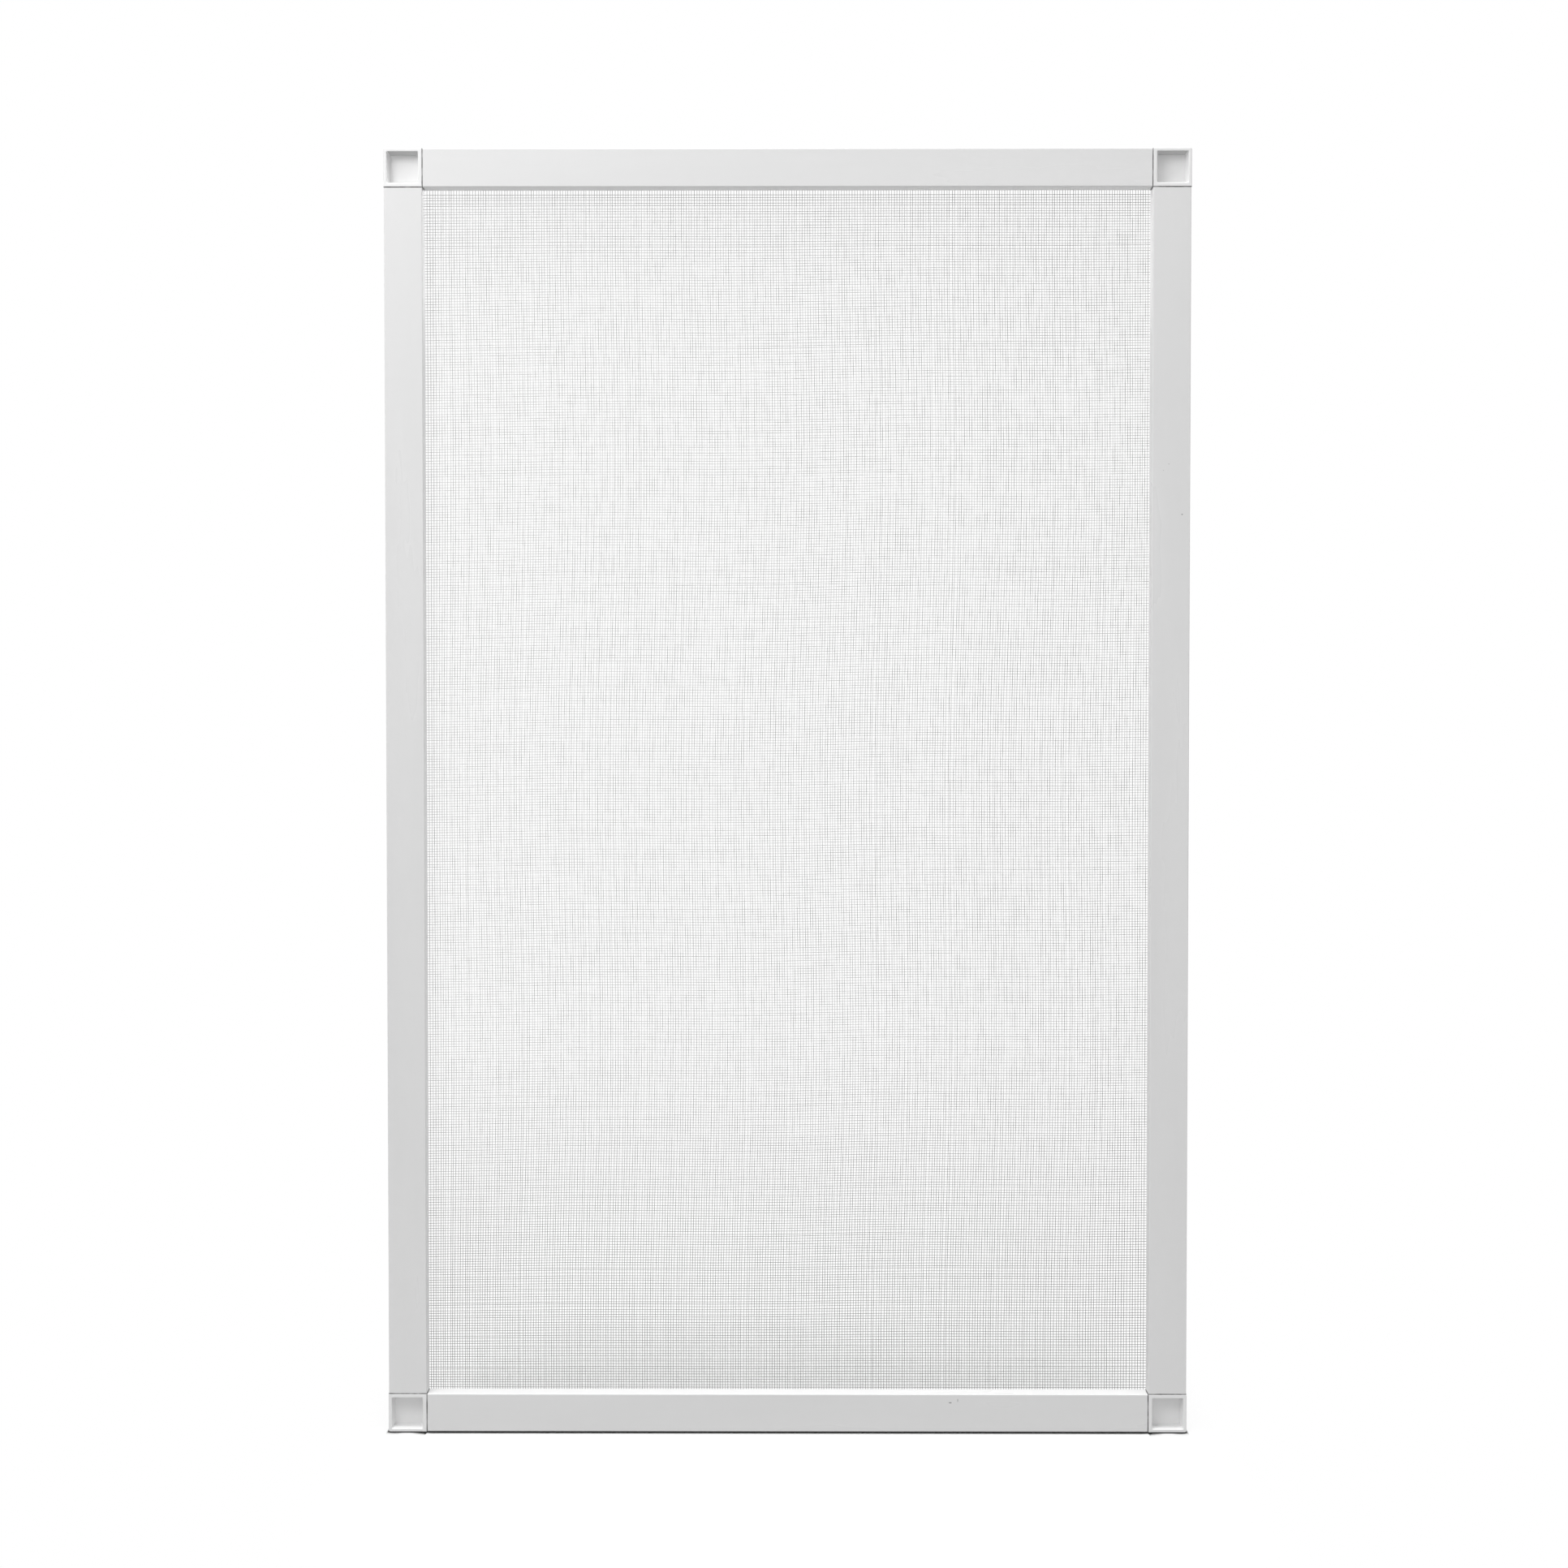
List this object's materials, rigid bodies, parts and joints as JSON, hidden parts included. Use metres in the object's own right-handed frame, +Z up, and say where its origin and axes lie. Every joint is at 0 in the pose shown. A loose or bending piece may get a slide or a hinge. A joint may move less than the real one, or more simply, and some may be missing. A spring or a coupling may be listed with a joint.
{
  "type": "window screen frame",
  "caption": "Flat rectangular window insect screen: white hollow metal members joined by pocketed plastic corners, with a fine woven mesh held at the back by splines.",
  "frame": {"origin": "under the middle of the bottom edge, halfway through the depth", "axes": "+Z up, +X along the bottom rail to the right as seen from the front, +Y from the front to the back"},
  "size_m": [0.5, 0.011, 0.8],
  "materials": {
    "white_paint": "satin white paint on aluminium",
    "white_plastic": "moulded white plastic with a soft sheen",
    "mesh_thread": "white vinyl-coated glass-fibre thread, open weave",
    "spline_vinyl": "matt light grey ribbed vinyl"
  },
  "bodies": {
    "root": {"top_rail": "white_paint", "bottom_rail": "white_paint", "left_stile": "white_paint", "right_stile": "white_paint", "corner_top_left": "white_plastic", "corner_top_right": "white_plastic", "corner_bottom_left": "white_plastic", "corner_bottom_right": "white_plastic", "insect_screen": "mesh_thread", "spline_top": "spline_vinyl", "spline_bottom": "spline_vinyl", "spline_left": "spline_vinyl", "spline_right": "spline_vinyl"}
  },
  "joints": []
}
